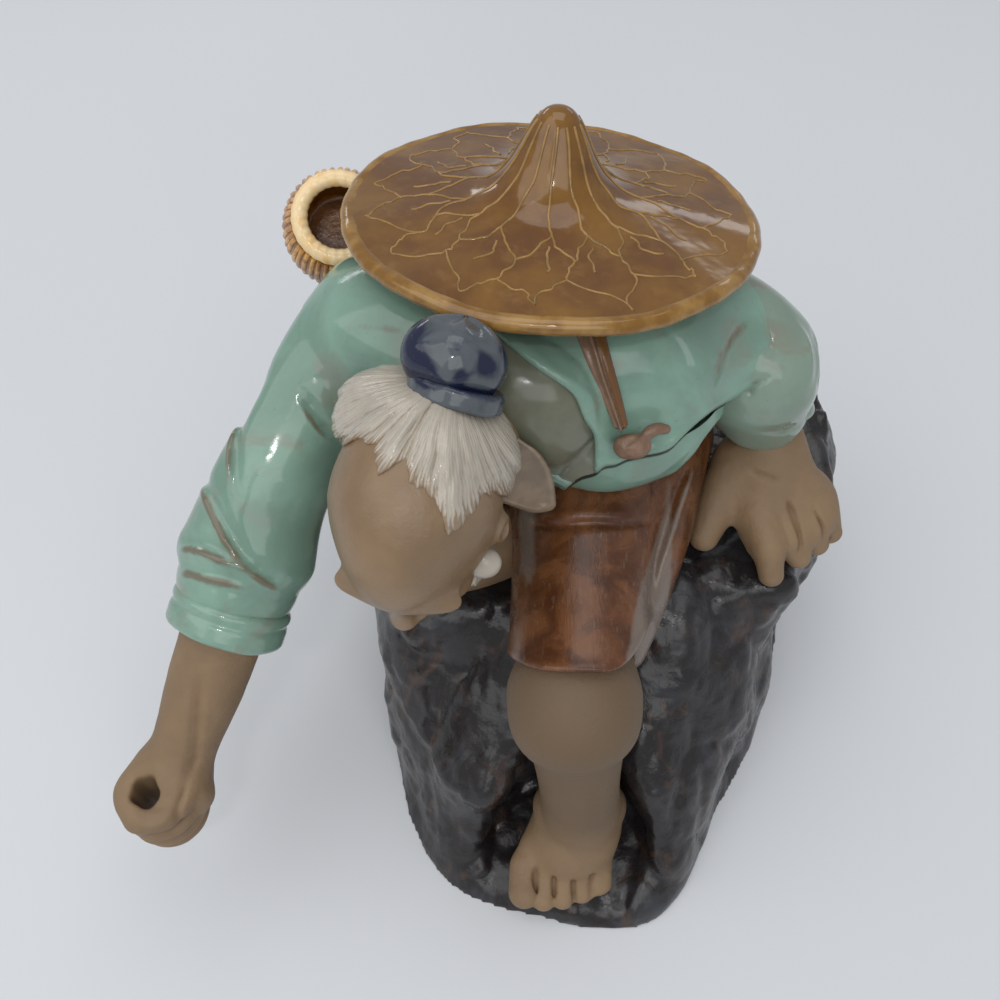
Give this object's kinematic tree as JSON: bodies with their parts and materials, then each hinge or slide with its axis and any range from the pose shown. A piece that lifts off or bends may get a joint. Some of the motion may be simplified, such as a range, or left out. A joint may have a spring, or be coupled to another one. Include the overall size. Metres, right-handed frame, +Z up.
{
  "type": "mudman figurine",
  "caption": "Glazed stoneware figurine of a seated, bent old fisherman in a leaf hat on a hollow crag, with a fist bored for a rod and a creel on the back.",
  "frame": {"origin": "centre of the figurine's outline on the table, on the plane of the crag's foot", "axes": "+X to the figure's left hand, -Y the way the figure faces and its bare foot comes down, +Z up"},
  "size_m": [0.1806, 0.1632, 0.1604],
  "materials": {
    "clay": "matte",
    "celadon": "gloss",
    "rust": "gloss",
    "basalt": "gloss",
    "amber": "gloss",
    "white": "gloss",
    "cobalt": "gloss",
    "straw": "gloss",
    "cream": "gloss",
    "cord_brown": "gloss"
  },
  "bodies": {
    "root": {"hat_leaf": "amber", "hat_rim": "amber", "topknot_cap": "cobalt", "topknot_band": "cobalt", "eyebrow_right": "white", "eyebrow_left": "white", "moustache_right": "white", "moustache_left": "white", "head": "clay", "hair": "white", "beard": "white", "neck": "clay", "right_hand": "clay", "right_forearm": "clay", "left_hand": "clay", "right_cuff": "celadon", "left_cuff": "celadon", "hat_cord_knot": "cord_brown", "hat_cord": "cord_brown", "creel_rim": "cream", "creel": "straw", "lapel": "celadon", "bare_chest": "clay", "left_foot": "clay", "left_leg": "clay", "robe": "celadon", "robe_hem": "celadon", "right_sleeve": "celadon", "left_sleeve": "celadon", "right_foot": "clay", "right_leg": "clay", "trousers": "rust", "trousers_right_leg": "rust", "crag": "basalt"}
  },
  "joints": []
}
